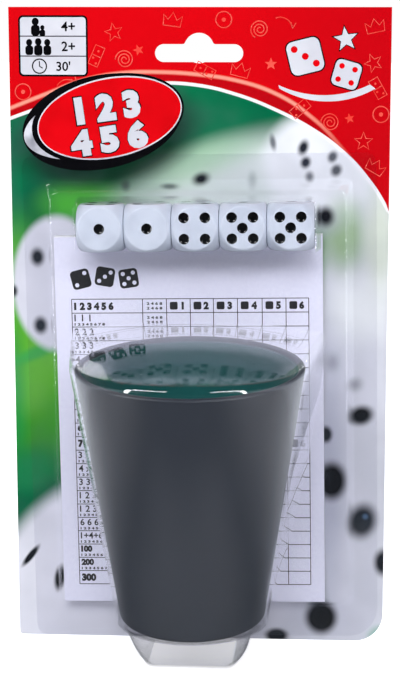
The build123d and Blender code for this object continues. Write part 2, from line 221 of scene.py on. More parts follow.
def build_room():
    """A white room round the pack, which is dark in front of it to what mirrors it."""
    world = bpy.data.worlds.new("white_room")
    world.use_nodes = True
    tree = world.node_tree
    tree.nodes.clear()
    direction = add(tree, "TexCoord", out="Generated")
    across, backward, upward = (add(tree, "SeparateXYZ", (direction,), out=axis)
                               for axis in (0, 1, 2))
    camera_ray, glossy_ray, through_ray = studio_rays(tree)
    # the light of the room
    height = add(tree, "MapRange", (upward, *ROOM_BRIGHTENS))
    room = add(tree, "Mix", {0: height, 6: linear(ROOM_LOW), 7: linear(ROOM_HIGH)}, out=2,
               data_type="RGBA")
    lit = add(tree, "Background", (room, ROOM_STRENGTH))
    # what is seen and mirrored of it
    behind = add(tree, "MapRange", (backward, *ROOM_BEHIND), interpolation_type=SMOOTH)
    sideways = add(tree, "Math", (across,), operation="ABSOLUTE")
    beside = add(tree, "MapRange", (sideways, *ROOM_BESIDE), interpolation_type=SMOOTH)
    low = add(tree, "MapRange", (upward, *ROOM_DOWN), interpolation_type=SMOOTH)
    pale = add(tree, "Math", (behind, beside), operation="MAXIMUM")
    pale = add(tree, "Math", (pale, low), operation="MULTIPLY")
    dark = add(tree, "Math", (1.0, pale), operation="SUBTRACT")
    dark = add(tree, "Math", (dark, glossy_ray), operation="MULTIPLY")
    shown = add(tree, "Mix", {0: dark, 6: studio_white(tree, glossy_ray), 7: linear(ROOM_DARK)},
                out=2, data_type="RGBA")
    shown = add(tree, "Background", (shown, 1.0))
    seen = add(tree, "Math", (camera_ray, through_ray), operation="MAXIMUM")
    seen = add(tree, "Math", (seen, glossy_ray), operation="MAXIMUM")
    add(tree, "OutputWorld", (add(tree, "MixShader", (seen, lit, shown)),))
    bpy.context.scene.world = world
    bpy.context.scene.view_settings.view_transform = "Standard"


def mirrored_floor(tree, place):
    """The floor at a place as the pack mirrors it: how much of it glows and how much is dark."""
    across, depth = (add(tree, "SeparateXYZ", (place,), out=axis) for axis in (0, 1))
    side = add(tree, "Math", (across,), operation="ABSOLUTE")
    front = add(tree, "MapRange", (depth, *DARK_FRONT_Y), interpolation_type=SMOOTH)
    outward = add(tree, "Math", (side, depth), operation="ADD")
    beside = add(tree, "MapRange", (outward, *WHITE_BESIDE_SUM), interpolation_type=SMOOTH)
    not_beside = add(tree, "Math", (1.0, beside), operation="SUBTRACT")
    front = add(tree, "Math", (front, not_beside), operation="MULTIPLY")
    behind = add(tree, "MapRange", (front, 1.0, 0.0, 0.0, GLOW_BEHIND))
    glowing = add(tree, "Math", (behind, beside), operation="MAXIMUM")
    # pale zone close in front
    close = add(tree, "MapRange", (depth, *CLOSE_ZONE_BACK_Y), interpolation_type=SMOOTH)
    end = add(tree, "MapRange", (depth, *CLOSE_ZONE_FRONT_Y), interpolation_type=SMOOTH)
    close = add(tree, "Math", (close, end), operation="MULTIPLY")
    breadth = add(tree, "MapRange", (side, *CLOSE_ZONE_X, 0.0, CLOSE_ZONE_SHARE),
                  interpolation_type=SMOOTH)
    close = add(tree, "Math", (close, breadth), operation="MULTIPLY")
    # pale zones to the left and right
    flank = add(tree, "MapRange", (side, *SIDE_ZONE_X), interpolation_type=SMOOTH)
    end = add(tree, "MapRange", (depth, *SIDE_ZONE_FRONT_Y), interpolation_type=SMOOTH)
    flank = add(tree, "Math", (flank, end), operation="MULTIPLY")
    pale = add(tree, "Math", (close, flank), operation="MAXIMUM")
    dimmed = add(tree, "MapRange", (pale, 0.0, 1.0, DIM_OUTSIDE, DIM_IN_ZONE))
    return glowing, dimmed


def lay_floor():
    """Matt white studio paper, which reads as plain white where nothing shades it."""
    material, tree, place = new_material("white_studio_paper")
    camera_ray, glossy_ray, through_ray = studio_rays(tree)
    glowing, dimmed = mirrored_floor(tree, place)
    glowing = add(tree, "Math", (glossy_ray, glowing), operation="MULTIPLY")
    dimmed = add(tree, "Math", (dimmed, glossy_ray), operation="MULTIPLY")
    paper = add(tree, "BsdfDiffuse", (linear(FLOOR_PAPER),))
    dark = add(tree, "BsdfDiffuse", (linear(FLOOR_DARK),))
    paper = add(tree, "MixShader", (dimmed, paper, dark))
    seen = add(tree, "Math", (camera_ray, through_ray), operation="MAXIMUM")
    seen = add(tree, "Math", (seen, glowing), operation="MAXIMUM")
    away = add(tree, "VectorMath", (place,), out="Value", operation="LENGTH")
    away = add(tree, "MapRange", (away, *GLOW_REACH, GLOW_NEAR, 1.0), interpolation_type=SMOOTH)
    strength = add(tree, "Math", (seen, away), operation="MULTIPLY")
    glow = add(tree, "Emission", (studio_white(tree, glossy_ray), strength))
    add(tree, "OutputMaterial", (add(tree, "AddShader", (paper, glow)),))
    bm = bmesh.new()
    bmesh.ops.create_grid(bm, x_segments=1, y_segments=1, size=FLOOR_HALF_SIZE * MM)
    mesh = bpy.data.meshes.new("floor")
    bm.to_mesh(mesh)
    bm.free()
    new_object("floor", mesh, material)


# The card's picture

# The board is a little wavy: how deep, and from wave to wave.
BOARD_WAVES, BOARD_WAVE_LENGTH = 0.25, 30
VARNISH_ROUGHNESS, BARE_BOARD_ROUGHNESS = 0.14, 0.75
# Pairs of shades between which a colour drifts, and the length of that drift.
BARE_BOARD, FIBRE_SIZE = ("#dcdad4", "#ece9e2"), 0.8
DEEP_GREEN, FRESH_GREEN, GREEN_DRIFT = ("#005438", "#006c44"), ("#34901c", "#5cac2c"), 34
RED, RED_DRIFT = ("#c20008", "#d0000c"), 40
# What the red turns to at the right and in the band along the sweep, and the highlight's colour.
RED_AT_RIGHT, RED_IN_BAND, RED_HIGHLIGHT = "#a0000c", "#8c0410", "#f09c88"
# Heights over which the deep green turns fresh, from below and from above.
FRESH_FROM_BELOW, FRESH_FROM_ABOVE = (52.0, 78.0), (160.0, 128.0)

# The red field ends along this sweep: x across the card, and its height there. A thin pale
# highlight runs along the second one.
SWEEP = [(-65, 184.3), (-52, 188.8), (-39, 192.4), (-26, 195.2), (-13, 196.5), (0, 195.7),
         (13, 192.6), (26, 187.6), (39, 180.8), (49, 173.5), (58, 163.8), (65, 152.7)]
HIGHLIGHT_SWEEP = [(-65, 187.8), (-52, 192.9), (-39, 197.6), (-26, 199.9), (-13, 200.2),
                   (0, 199.4), (13, 197.4), (26, 193.1), (39, 184.6), (49, 174.5),
                   (58, 163.2), (65, 154.0)]

# The picture under the red field is out of focus: soft-edged ovals on green, painted in this
# order, with one grey band of painted shade beside the pad among them. Each has centre x and z,
# half width, half height, turn in degrees, the shares of its radius at which the edge starts to
# soften and ends, its strength, and its colour.
GREEN_TINTS = [
    (-40, 156, 18, 9, 0, 0.3, 1.2, 0.9, "#48a830"),
    (-66, 84, 6, 30, 0, 0.2, 1.3, 0.7, "#0f8a48"),
    (-57, 103, 10, 2.4, 24, 0.3, 1.4, 0.8, "#2a9c48"),
    (-60, 60, 12, 9, 30, 0.3, 1.3, 0.8, "#0c7c48"),
]
PALE_BODIES = [
    (57, 78, 19, 100, 0, 0.80, 1.10, 1.0, "#cdcfda"),
    (-18, -1.4, 61, 64.7, 0, 0.93, 1.05, 1.0, "#dcdde8"),
    (17, 158, 58, 21.4, 15, 0.50, 1.20, 1.0, "#cfd8d8"),
    (-2, 169, 24, 7, 20, 0.1, 1.4, 0.6, "#a4cfa6"),
    (41, 169, 21, 20, 0, 0.72, 1.06, 1.0, "#dfe2e9"),
    (-49.4, 127.2, 16, 24, 0, 0.90, 1.07, 1.0, "#d0d1dd"),
]
BODY_TINTS_AND_PAINTED_SHADE = [
    (50, 144, 9, 15, 0, 0.2, 1.3, 0.9, "#8fae80"),
    (62, 142, 6, 22, 0, 0.3, 1.3, 0.6, "#c2ceb4"),
    (40, 150, 12, 6, 0, 0.2, 1.3, 0.5, "#b9bccb"),
    (54, 120, 16, 15, 0, 0.2, 1.3, 0.8, "#e0e4e6"),
    # painted shade: a darker grey band along the pad's right edge, where the pad's shadow falls
    (46, 60, 6, 48, 0, 0.1, 1.5, 0.75, "#a4a7b8"),
    (41, 1, 14, 12, 0, 0.7, 1.2, 1.0, "#cfd1dc"),
    (65, 1, 5.5, 5, 0, 0.4, 1.3, 0.8, "#5fa688"),
    (40, 8, 16, 9, 0, 0.2, 1.3, 0.4, "#babdcb"),
]
DARK_SPOTS = [
    (56.4, 81.9, 4.2, 3.3, 18, 0.5, 1.45, 1.0, "#0a0b10"),
    (44.2, 75.0, 2.3, 3.0, 0, 0.5, 1.4, 1.0, "#0a0b10"),
    (46.4, 58.3, 5.2, 6.8, 0, 0.6, 1.35, 1.0, "#08090e"),
    (57.3, 43.9, 4.8, 6.2, -14, 0.5, 1.45, 1.0, "#0b0e16"),
    (64.9, 29.0, 3.2, 4.8, 0, 0.5, 1.4, 1.0, "#0a0b10"),
    (43.2, 8.4, 5.5, 5.9, 0, 0.65, 1.35, 1.0, "#050609"),
    (27.4, 1.4, 3.9, 2.5, 0, 0.6, 1.4, 1.0, "#08090d"),
    (-60.6, 29.2, 1.1, 4.6, -38, 0.6, 1.4, 1.0, "#0c0d13"),
    (-50.3, 21.2, 1.8, 4.6, -8, 0.6, 1.4, 1.0, "#14161c"),
    (-56.4, 136.6, 2.2, 2.9, 0, 0.4, 1.6, 1.0, "#11131a"),
    (-55.7, 112.6, 2.2, 2.8, 0, 0.4, 1.6, 1.0, "#11131a"),
    (-65.2, 124.6, 1.6, 2.2, 0, 0.4, 1.5, 1.0, "#14161c"),
    (43.4, 151.4, 2.6, 3.0, 0, 0.4, 1.7, 1.0, "#16181f"),
    (54.0, 92.8, 2.8, 2.4, 20, 0.0, 1.7, 0.6, "#62656f"),
    (46.2, 100.6, 2.6, 3.2, 0, 0.0, 1.7, 0.5, "#6c6f7a"),
    (35.6, 174.9, 1.5, 2.3, -20, 0.4, 1.7, 1.0, "#20222c"),
    (36.4, 169.8, 1.5, 1.8, -20, 0.4, 1.7, 1.0, "#262833"),
    (37.8, 165.0, 1.3, 1.6, 0, 0.2, 1.8, 0.8, "#343641"),
    (45.6, 171.8, 1.4, 1.8, -24, 0.4, 1.7, 0.9, "#262833"),
    (46.9, 167.2, 1.6, 1.9, -30, 0.4, 1.7, 0.9, "#20222c"),
    (25.2, 176.6, 0.9, 2.3, 10, 0.3, 1.8, 0.8, "#343641"),
    (0.6, 164.0, 2.6, 1.8, 20, 0.3, 1.8, 1.0, "#16181f"),
    (-10.2, 161.4, 2.6, 0.9, 0, 0.2, 1.8, 0.8, "#30323c"),
    (-25.4, 161.6, 1.3, 1.6, 0, 0.2, 1.9, 0.7, "#44464f"),
    (18.2, 163.6, 1.2, 2.4, 0, 0.1, 2.0, 0.4, "#5c5f6a"),
]
GLINT = (58.4, 45.6, 0.9, 0.9, 0, 0.2, 1.8, 0.7, "#4c6a8c")
BADGE_SHADOW = (-31.0, 178.5, 30.5, 17.5, 12, 0.76, 1.22, 0.85, "#0b1a14")
PICTURE = GREEN_TINTS + PALE_BODIES + BODY_TINTS_AND_PAINTED_SHADE + DARK_SPOTS + [GLINT, BADGE_SHADOW]


def above_sweep(tree, x, z, points):
    """Distance above a sweep, square to it: the height over it divided by the length of the
    sweep's slope over one millimetre."""
    low, high = points[0][0], points[-1][0]
    heights = [height for _, height in points]
    bottom, top = min(heights), max(heights)
    places = [((px - low) / (high - low), (pz - bottom) / (top - bottom)) for px, pz in points]
    here_and_beside = []
    for step in (0.0, 1.0):
        share = add(tree, "MapRange", (x, low - step, high - step))
        level = add(tree, "FloatCurve", {"Value": share})
        curve = level.node.mapping.curves[0]
        for place in places[2:]:
            curve.points.new(*place)
        for point, place in zip(curve.points, places):
            point.location = place
        level.node.mapping.update()
        here_and_beside.append(add(tree, "Math", (level, top - bottom, bottom),
                                   operation="MULTIPLY_ADD"))
    here, beside = here_and_beside
    slope = add(tree, "Math", (beside, here), operation="SUBTRACT")
    length = add(tree, "Math", (slope, slope, 1.0), operation="MULTIPLY_ADD")
    length = add(tree, "Math", (length,), operation="SQRT")
    over = add(tree, "Math", (z, here), operation="SUBTRACT")
    return add(tree, "Math", (over, length), operation="DIVIDE")


def out_of_focus_picture(tree, place, z):
    """Colour of the picture under the red field: blurred pale bodies with dark spots on green,
    which is fresh at the middle of the card's height and deep above and below, and a band of
    painted shade beside the pad's right edge."""
    drift = add(tree, "TexNoise", {"Vector": place, "Scale": 1 / GREEN_DRIFT, "Detail": 1.0})
    drift = add(tree, "MapRange", (drift, 0.35, 0.65), interpolation_type=SMOOTH)
    deep, fresh = (add(tree, "Mix", {0: drift, 6: linear(dark), 7: linear(pale)}, out=2,
                       data_type="RGBA") for dark, pale in (DEEP_GREEN, FRESH_GREEN))
    over = add(tree, "MapRange", (z, *FRESH_FROM_BELOW), interpolation_type=SMOOTH)
    under = add(tree, "MapRange", (z, *FRESH_FROM_ABOVE), interpolation_type=SMOOTH)
    middle = add(tree, "Math", (over, under), operation="MULTIPLY")
    colour = add(tree, "Mix", {0: middle, 6: deep, 7: fresh}, out=2, data_type="RGBA")
    # an oval's depth is endless, so that only x and z count
    endless = 1e6
    for cx, cz, half_width, half_height, turn, soft, end, strength, paint in PICTURE:
        mapped = add(tree, "Mapping", {
            "Vector": place, "Location": (cx, 0, cz), "Rotation": (0, math.radians(-turn), 0),
            "Scale": (half_width, endless, half_height)}, vector_type="TEXTURE")
        away = add(tree, "VectorMath", (mapped,), out="Value", operation="LENGTH")
        inside = add(tree, "MapRange", (away, end, soft, 0.0, strength), interpolation_type=SMOOTH)
        colour = add(tree, "Mix", {0: inside, 6: colour, 7: linear(paint)}, out=2,
                     data_type="RGBA")
    # a faint unevenness of the blur
    patch_size, most = 18, 0.14
    shade = add(tree, "TexNoise", {"Vector": place, "Scale": 1 / patch_size, "Detail": 2.0})
    shade = add(tree, "MapRange", (shade, *NOISE_SPREAD, 0.0, most), interpolation_type=SMOOTH)
    return add(tree, "Mix", {0: shade, 6: colour, 7: linear("#5c6a78")}, out=2, data_type="RGBA")


def red_field(tree, place, x, z, above):
    """Colour of the red field: darker to the right and in a band along the sweep, with a pale
    highlight that fades before the card's right edge."""
    above_highlight = above_sweep(tree, x, z, HIGHLIGHT_SWEEP)
    drift = add(tree, "TexNoise", {"Vector": place, "Scale": 1 / RED_DRIFT, "Detail": 1.0})
    red = add(tree, "Mix", {0: drift, 6: linear(RED[0]), 7: linear(RED[1])}, out=2,
              data_type="RGBA")
    darker = add(tree, "MapRange", (x, 0.0, 62.0, 0.0, 0.45), interpolation_type=SMOOTH)
    red = add(tree, "Mix", {0: darker, 6: red, 7: linear(RED_AT_RIGHT)}, out=2, data_type="RGBA")
    over = add(tree, "MapRange", (above, 0.0, 1.2, 0.0, 0.5), interpolation_type=SMOOTH)
    under = add(tree, "MapRange", (above_highlight, 0.4, -1.4), interpolation_type=SMOOTH)
    band = add(tree, "Math", (over, under), operation="MULTIPLY")
    red = add(tree, "Mix", {0: band, 6: red, 7: linear(RED_IN_BAND)}, out=2, data_type="RGBA")
    apart = add(tree, "Math", (above_highlight,), operation="ABSOLUTE")
    highlight = add(tree, "MapRange", (apart, 1.0, 0.15, 0.0, 0.85), interpolation_type=SMOOTH)
    fading = add(tree, "MapRange", (x, 58.0, 30.0), interpolation_type=SMOOTH)
    highlight = add(tree, "Math", (highlight, fading), operation="MULTIPLY")
    return add(tree, "Mix", {0: highlight, 6: red, 7: linear(RED_HIGHLIGHT)}, out=2,
               data_type="RGBA")


def card_material():
    """Solid bleached board, offset printed and varnished: even colour with a soft gloss."""
    material, tree, place = new_material("varnished_offset_printed_board")
    x, z = (add(tree, "SeparateXYZ", (place,), out=axis) for axis in (0, 2))
    picture = out_of_focus_picture(tree, place, z)
    above = above_sweep(tree, x, z, SWEEP)
    red = red_field(tree, place, x, z, above)
    is_red = add(tree, "MapRange", (above, 0.35, 0.75), interpolation_type=SMOOTH)
    front = add(tree, "Mix", {0: is_red, 6: picture, 7: red}, out=2, data_type="RGBA")
    # a white line, about a millimetre wide, between the red and the picture
    over = add(tree, "MapRange", (above, -0.65, -0.35), interpolation_type=SMOOTH)
    under = add(tree, "MapRange", (above, 0.75, 0.45), interpolation_type=SMOOTH)
    line = add(tree, "Math", (over, under), operation="MULTIPLY")
    front = add(tree, "Mix", {0: line, 6: front, 7: linear("#e2e1e6")}, out=2, data_type="RGBA")
    # the back and the cut edges are bare board, matt and with a faint fibre
    normal = add(tree, "NewGeometry", out="Normal")
    facing = add(tree, "SeparateXYZ", (normal,), out=1)
    printed_side = add(tree, "MapRange", (facing, -0.6, -0.8))
    fibre = add(tree, "TexNoise", {"Vector": place, "Scale": 1 / FIBRE_SIZE, "Detail": 3.0})
    bare = add(tree, "Mix", {0: fibre, 6: linear(BARE_BOARD[0]), 7: linear(BARE_BOARD[1])},
               out=2, data_type="RGBA")
    colour = add(tree, "Mix", {0: printed_side, 6: bare, 7: front}, out=2, data_type="RGBA")
    rough = add(tree, "MapRange", (printed_side, 0.0, 1.0, BARE_BOARD_ROUGHNESS,
                                   VARNISH_ROUGHNESS))
    waves = add(tree, "TexNoise", {"Vector": place, "Scale": 1 / BOARD_WAVE_LENGTH,
                                   "Detail": 1.0})
    normal = add(tree, "Bump", {"Height": waves, "Distance": BOARD_WAVES * MM})
    add(tree, "OutputMaterial", (add(tree, "BsdfPrincipled", {
        "Base Color": colour, "Roughness": rough, "IOR": 1.5, "Normal": normal}),))
    return material


# Finishes of the other pieces

# The clear sheet mirrors this share where it is looked at squarely, and this much more along it.
SHEET_MIRRORS_SQUARELY, SHEET_MIRRORS_ALONG, SHEET_FALLOFF = 0.042, 0.85, 5.0
SHEET_ROUGHNESS = 0.015
SHEET_WAVES, SHEET_WAVE_LENGTH = 0.04, 16
# Where two of its faces meet at more than this, the edge between them stays sharp.
CREASE = math.radians(32)


def clear_sheet_material():
    """Thermoformed PET sheet: clear, it mirrors more the flatter it is looked along."""
    material, tree, place = new_material("thermoformed_clear_pet")
    waves = add(tree, "TexNoise", {"Vector": place, "Scale": 1 / SHEET_WAVE_LENGTH,
                                   "Detail": 1.0})
    normal = add(tree, "Bump", {"Height": waves, "Distance": SHEET_WAVES * MM})
    facing = add(tree, "LayerWeight", {"Blend": 0.5, "Normal": normal}, out="Facing")
    along = add(tree, "Math", (facing, SHEET_FALLOFF), operation="POWER")
    mirrored = add(tree, "Math", (along, SHEET_MIRRORS_ALONG, SHEET_MIRRORS_SQUARELY),
                   operation="MULTIPLY_ADD")
    # light on its way to what lies inside passes unweakened, as both faces pass it on
    shadow_ray = add(tree, "LightPath", out="Is Shadow Ray")
    diffuse_ray = add(tree, "LightPath", out="Is Diffuse Ray")
    passing = add(tree, "Math", (shadow_ray, diffuse_ray), operation="MAXIMUM")
    weighed = add(tree, "Math", (1.0, passing), operation="SUBTRACT")
    mirrored = add(tree, "Math", (mirrored, weighed), operation="MULTIPLY")
    through = add(tree, "BsdfTransparent", (linear("#fdfdfe"),))
    mirror = add(tree, "BsdfGlossy", {"Color": linear("#ffffff"), "Roughness": SHEET_ROUGHNESS,
                                      "Normal": normal})
    add(tree, "OutputMaterial", (add(tree, "MixShader", (mirrored, through, mirror)),))
    return material


def plain_material(name, dark, pale, grain, rough, ior=1.5, depth=0.0, detail=2.0):
    """A finish whose colour drifts between two shades over grains of a size in millimetres,
    with a relief of that grain depth millimetres deep."""
    material, tree, place = new_material(name)
    drift = add(tree, "TexNoise", {"Vector": place, "Scale": 1 / grain, "Detail": detail})
    share = add(tree, "MapRange", (drift, *NOISE_SPREAD), interpolation_type=SMOOTH)
    colour = add(tree, "Mix", {0: share, 6: linear(dark), 7: linear(pale)}, out=2,
                 data_type="RGBA")
    normal = add(tree, "Bump", {"Height": drift, "Distance": depth * MM})
    add(tree, "OutputMaterial", (add(tree, "BsdfPrincipled", {
        "Base Color": colour, "Roughness": rough, "IOR": ior, "Normal": normal}),))
    return material


def cup_material():
    """Moulded polypropylene in charcoal: a satin skin with the faintest flow marks."""
    material, tree, place = new_material("satin_moulded_polypropylene")
    flow_length, grain_size, grain_depth = 22, 0.35, 0.003
    flow = add(tree, "TexNoise", {"Vector": place, "Scale": 1 / flow_length, "Detail": 2.0})
    grain = add(tree, "TexNoise", {"Vector": place, "Scale": 1 / grain_size, "Detail": 2.0})
    colour = add(tree, "Mix", {0: flow, 6: linear("#262c34"), 7: linear("#2e343d")}, out=2,
                 data_type="RGBA")
    rough = add(tree, "MapRange", (grain, 0.0, 1.0, 0.36, 0.44))
    normal = add(tree, "Bump", {"Height": grain, "Distance": grain_depth * MM})
    add(tree, "OutputMaterial", (add(tree, "BsdfPrincipled", {
        "Base Color": colour, "Roughness": rough, "IOR": 1.49, "Normal": normal}),))
    return material


def felt_material():
    """Short green felt: matt, fibrous, with a soft sheen along grazing views."""
    material, tree, place = new_material("green_felt")
    fibre_length, pile_depth, patch_size = 0.5, 0.12, 9
    fibre = add(tree, "TexNoise", {"Vector": place, "Scale": 1 / fibre_length, "Detail": 4.0,
                                   "Roughness": 0.7})
    patch = add(tree, "TexNoise", {"Vector": place, "Scale": 1 / patch_size, "Detail": 2.0})
    colour = add(tree, "Mix", {0: fibre, 6: linear("#003a3a"), 7: linear("#02605c")}, out=2,
                 data_type="RGBA")
    share = add(tree, "Math", (patch, 0.35), operation="MULTIPLY")
    colour = add(tree, "Mix", {0: share, 6: colour, 7: linear("#064e4e")}, out=2,
                 data_type="RGBA")
    normal = add(tree, "Bump", {"Height": fibre, "Distance": pile_depth * MM})
    add(tree, "OutputMaterial", (add(tree, "BsdfPrincipled", {
        "Base Color": colour, "Roughness": 0.95, "Sheen Weight": 0.2, "Sheen Roughness": 0.45,
        "Normal": normal}),))
    return material


def dress_nodes():
    """Give every CAD node its finish."""
    felt = felt_material()
    # uncoated printing paper: matt, with a faint mottle of its fibres
    paper = plain_material("uncoated_pad_paper", "#dcddf0", "#e2e3f4", 1.2, 0.85, depth=0.004)
    # tumbled acrylic: glossy bluish white, a little cloudy
    dice = plain_material("tumbled_white_acrylic", "#bec6d4", "#cad2df", 6.0, 0.16, ior=1.49)
    # black enamel run into the drilled dishes: glossy, with a slightly uneven skin
    pips = plain_material("black_pip_enamel", "#020203", "#060709", 0.9, 0.12, depth=0.005)
    # unbleached board from waste paper: matt and speckled
    board = plain_material("grey_chipboard", "#8d8880", "#b8b2a8", 0.7, 0.9, depth=0.03, detail=4.0)
    # brushed on and dried: a rubbery white film with ripples
    glue = plain_material("padding_glue", "#dedfe4", "#eff0f4", 1.5, 0.5, depth=0.05)
    finishes = {
        "backing_card": card_material(), "score_pad_board": board, "score_pad_sheets": paper,
        "score_pad_top_sheet": paper, "score_pad_glue_strip": glue,
        "dice_cup": cup_material(), "cup_felt_sleeve": felt, "cup_felt_disc": felt,
    }
    for index in range(1, 6):
        finishes[f"die_{index}"] = dice
        finishes[f"die_{index}_pips"] = pips
    for name, material in finishes.items():
        for slot in nodes[name].material_slots:
            slot.material = material


def lay_blister():
    """The formed sheet, its seams closed and its flange just in front of the print."""
    seam, on_card = 0.002, 0.01
    bm = bmesh.new()
    bm.from_mesh(nodes["clear_blister"].data)
    bmesh.ops.remove_doubles(bm, verts=bm.verts, dist=seam * MM)
    for vertex in bm.verts:
        if abs(vertex.co.y - CARD_FRONT) < on_card * MM:
            vertex.co.y -= FLANGE_LIFT * MM
    bmesh.ops.recalc_face_normals(bm, faces=bm.faces)
    for face in bm.faces:
        face.smooth = True
    for edge in bm.edges:
        edge.smooth = edge.calc_face_angle(math.pi) < CREASE
    mesh = bpy.data.meshes.new("clear_sheet")
    bm.to_mesh(mesh)
    bm.free()
    sheet = new_object("clear_sheet", mesh, clear_sheet_material())
    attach(sheet, "blister")
    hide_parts("clear_blister")


# Drawings: flat shapes in millimetres round their own middle, one unit thick

def raised(bm):
    """A flat drawing raised by one unit into a closed solid, as a mesh."""
    grown = bmesh.ops.extrude_face_region(bm, geom=bm.faces[:])["geom"]
    top = [part for part in grown if isinstance(part, bmesh.types.BMVert)]
    bmesh.ops.translate(bm, vec=(0, 0, 1), verts=top)
    bmesh.ops.recalc_face_normals(bm, faces=bm.faces)
    mesh = bpy.data.meshes.new("drawing")
    bm.to_mesh(mesh)
    bm.free()
    return mesh


def oval(half_width, half_height, corners=64):
    """A filled oval."""
    bm = bmesh.new()
    bmesh.ops.create_circle(bm, cap_ends=True, segments=corners, radius=1)
    bmesh.ops.scale(bm, vec=(half_width, half_height, 1), verts=bm.verts)
    return raised(bm)


def bar(width, height, corner=0.0):
    """A filled rectangle, with rounded corners if they have a radius."""
    bm = bmesh.new()
    bmesh.ops.create_grid(bm, x_segments=1, y_segments=1, size=0.5)
    bmesh.ops.scale(bm, vec=(width, height, 1), verts=bm.verts)
    if corner:
        bmesh.ops.bevel(bm, geom=bm.verts[:], offset=corner, segments=5, profile=0.5,
                        affect="VERTICES", material=-1)
    return raised(bm)


def from_curve(curve, width=None, height=None):
    """Mesh of a drawn curve or text, one unit thick. One with a height is centred and fitted to
    that height, and to a width if it has one."""
    drawn = bpy.data.objects.new("drawn", curve)
    mesh = bpy.data.meshes.new_from_object(drawn)
    bpy.data.objects.remove(drawn)
    low = Vector([min(v.co[i] for v in mesh.vertices) for i in range(3)])
    high = Vector([max(v.co[i] for v in mesh.vertices) for i in range(3)])
    size = high - low
    middle = (low + high) / 2 if height else Vector((0, 0, 0))
    middle.z = low.z
    up = height / size.y if height else 1.0
    across = width / size.x if width else up
    mesh.transform(Matrix.Diagonal((across, up, 1 / size.z, 1)) @ Matrix.Translation(-middle))
    seam = 1e-4
    bm = bmesh.new()
    bm.from_mesh(mesh)
    bmesh.ops.remove_doubles(bm, verts=bm.verts, dist=seam)
    bmesh.ops.recalc_face_normals(bm, faces=bm.faces)
    bm.to_mesh(mesh)
    bm.free()
    return mesh


def figures(text, height, width=None, bold=0.0):
    """Numbers or signs of a height, drawn bolder by a share of their size."""
    curve = bpy.data.curves.new("figures", "FONT")
    curve.body = text
    curve.offset = bold
    curve.extrude = 0.5
    curve.resolution_u = 3
    return from_curve(curve, width, height)


def poly_curve(name, points, closed):
    """A curve straight from point to point."""
    curve = bpy.data.curves.new(name, "CURVE")
    spline = curve.splines.new("POLY")
    spline.points.add(len(points) - 1)
    for point, (px, py) in zip(spline.points, points):
        point.co = (px, py, 0, 1)
    spline.use_cyclic_u = closed
    return curve


def stroke(points, thickness, closed=False):
    """A pen line through points."""
    curve = poly_curve("stroke", points, closed)
    curve.dimensions = "3D"
    curve.bevel_depth = thickness / 2
    curve.bevel_resolution = 1
    curve.use_fill_caps = True
    return from_curve(curve)


def filled(points):
    """A filled outline through points."""
    curve = poly_curve("outline", points, True)
    curve.dimensions = "2D"
    curve.fill_mode = "BOTH"
    curve.extrude = 0.5
    return from_curve(curve)


def arc(radius, start, end, steps=24, growth=0.0, x=0.0, y=0.0):
    """Points along an arc or, with growth, along a spiral. Angles are in degrees."""
    points = []
    for step in range(steps + 1):
        angle = math.radians(start + (end - start) * step / steps)
        reach = radius * (1 + growth * step / steps)
        points.append((x + reach * math.cos(angle), y + reach * math.sin(angle)))
    return points


def full_circle(radius):
    """Points round a circle."""
    return arc(radius, 0, 360)[:-1]


def star_points(radius):
    """Points round a star with five tips."""
    inner_share = 0.42
    corners = [(radius * (1.0 if step % 2 == 0 else inner_share), math.radians(90 + 36 * step))
               for step in range(10)]
    return [(reach * math.cos(angle), reach * math.sin(angle)) for reach, angle in corners]


def dots_on(places, reach, radius, corners, x, z, turn, layer):
    """The dots of a turned drawing, whose places on it are in units of reach."""
    turned = Matrix.Rotation(math.radians(turn), 2)
    offsets = [turned @ Vector(place) * reach for place in places]
    return [(oval(radius, radius, corners), x + off.x, z + off.y, 0, layer) for off in offsets]


def printed(name, carrier, ink, drawings):
    """One printed piece: drawings on the card or the pad, each with x, z, turn in degrees and
    how many layers it stands out."""
    front = Matrix(((1, 0, 0, 0), (0, 0, -1, 0), (0, 1, 0, 0), (0, 0, 0, 1)))
    base = Matrix.Translation((0, CARD_FRONT, 0))
    if carrier == "pad":
        base = (Matrix.Translation((0, PAD_FRONT, TURN_HEIGHT * MM))
                @ Matrix.Rotation(-PACK_TURN, 4, "Y")
                @ Matrix.Translation((0, 0, -TURN_HEIGHT * MM)))
    bm = bmesh.new()
    for drawing, x, z, turn, layer in drawings:
        placed = drawing.copy()
        placed.transform(base @ Matrix.Translation((x * MM, 0, z * MM)) @ front
                         @ Matrix.Rotation(math.radians(turn), 4, "Z")
                         @ Matrix.Diagonal((MM, MM, layer * INK_LAYER * MM, 1)))
        bm.from_mesh(placed)
    mesh = bpy.data.meshes.new(name)
    bm.to_mesh(mesh)
    bm.free()
    piece = new_object(name, mesh, ink)
    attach(piece, carrier)


# Print on the card

def print_badge(black, white, red, silver):
    """An oval badge with a rim that is thicker below, a pale crescent on the rim, a white line, a
    red field, and the numbers 1 to 6 in two rows."""
    x, z, turn = -30.8, 184.6, 12
    printed("badge_black", "card", black, [
        (oval(27.9, 15.9), -33.4, 183.2, turn, 1), (oval(26.6, 14.7), -31.4, 184.5, turn, 3)])
    printed("badge_crescent", "card", silver, [(oval(24.4, 11.2), -36.4, 182.4, turn, 2)])
    printed("badge_line", "card", white, [(oval(25.3, 13.6), x, z, turn, 4)])
    printed("badge_field", "card", red, [(oval(24.9, 13.1), x, z, turn, 5)])
    # each row: its numbers, how wide the white figures run, and x, z and turn
    rows = (("1 2 3", 22.4, -31.4, 188.3, 8), ("4 5 6", 26.8, -31.0, 177.6, 9))
    edge = 0.45
    for name, ink, margin, bold, layer in (("badge_figure_edges", black, edge, 0.095, 6),
                                           ("badge_figures", white, 0.0, 0.072, 7)):
        printed(name, "card", ink, [
            (figures(text, 9.6 + 2 * margin, width + 2 * margin, bold), *place, layer)
            for text, width, *place in rows])


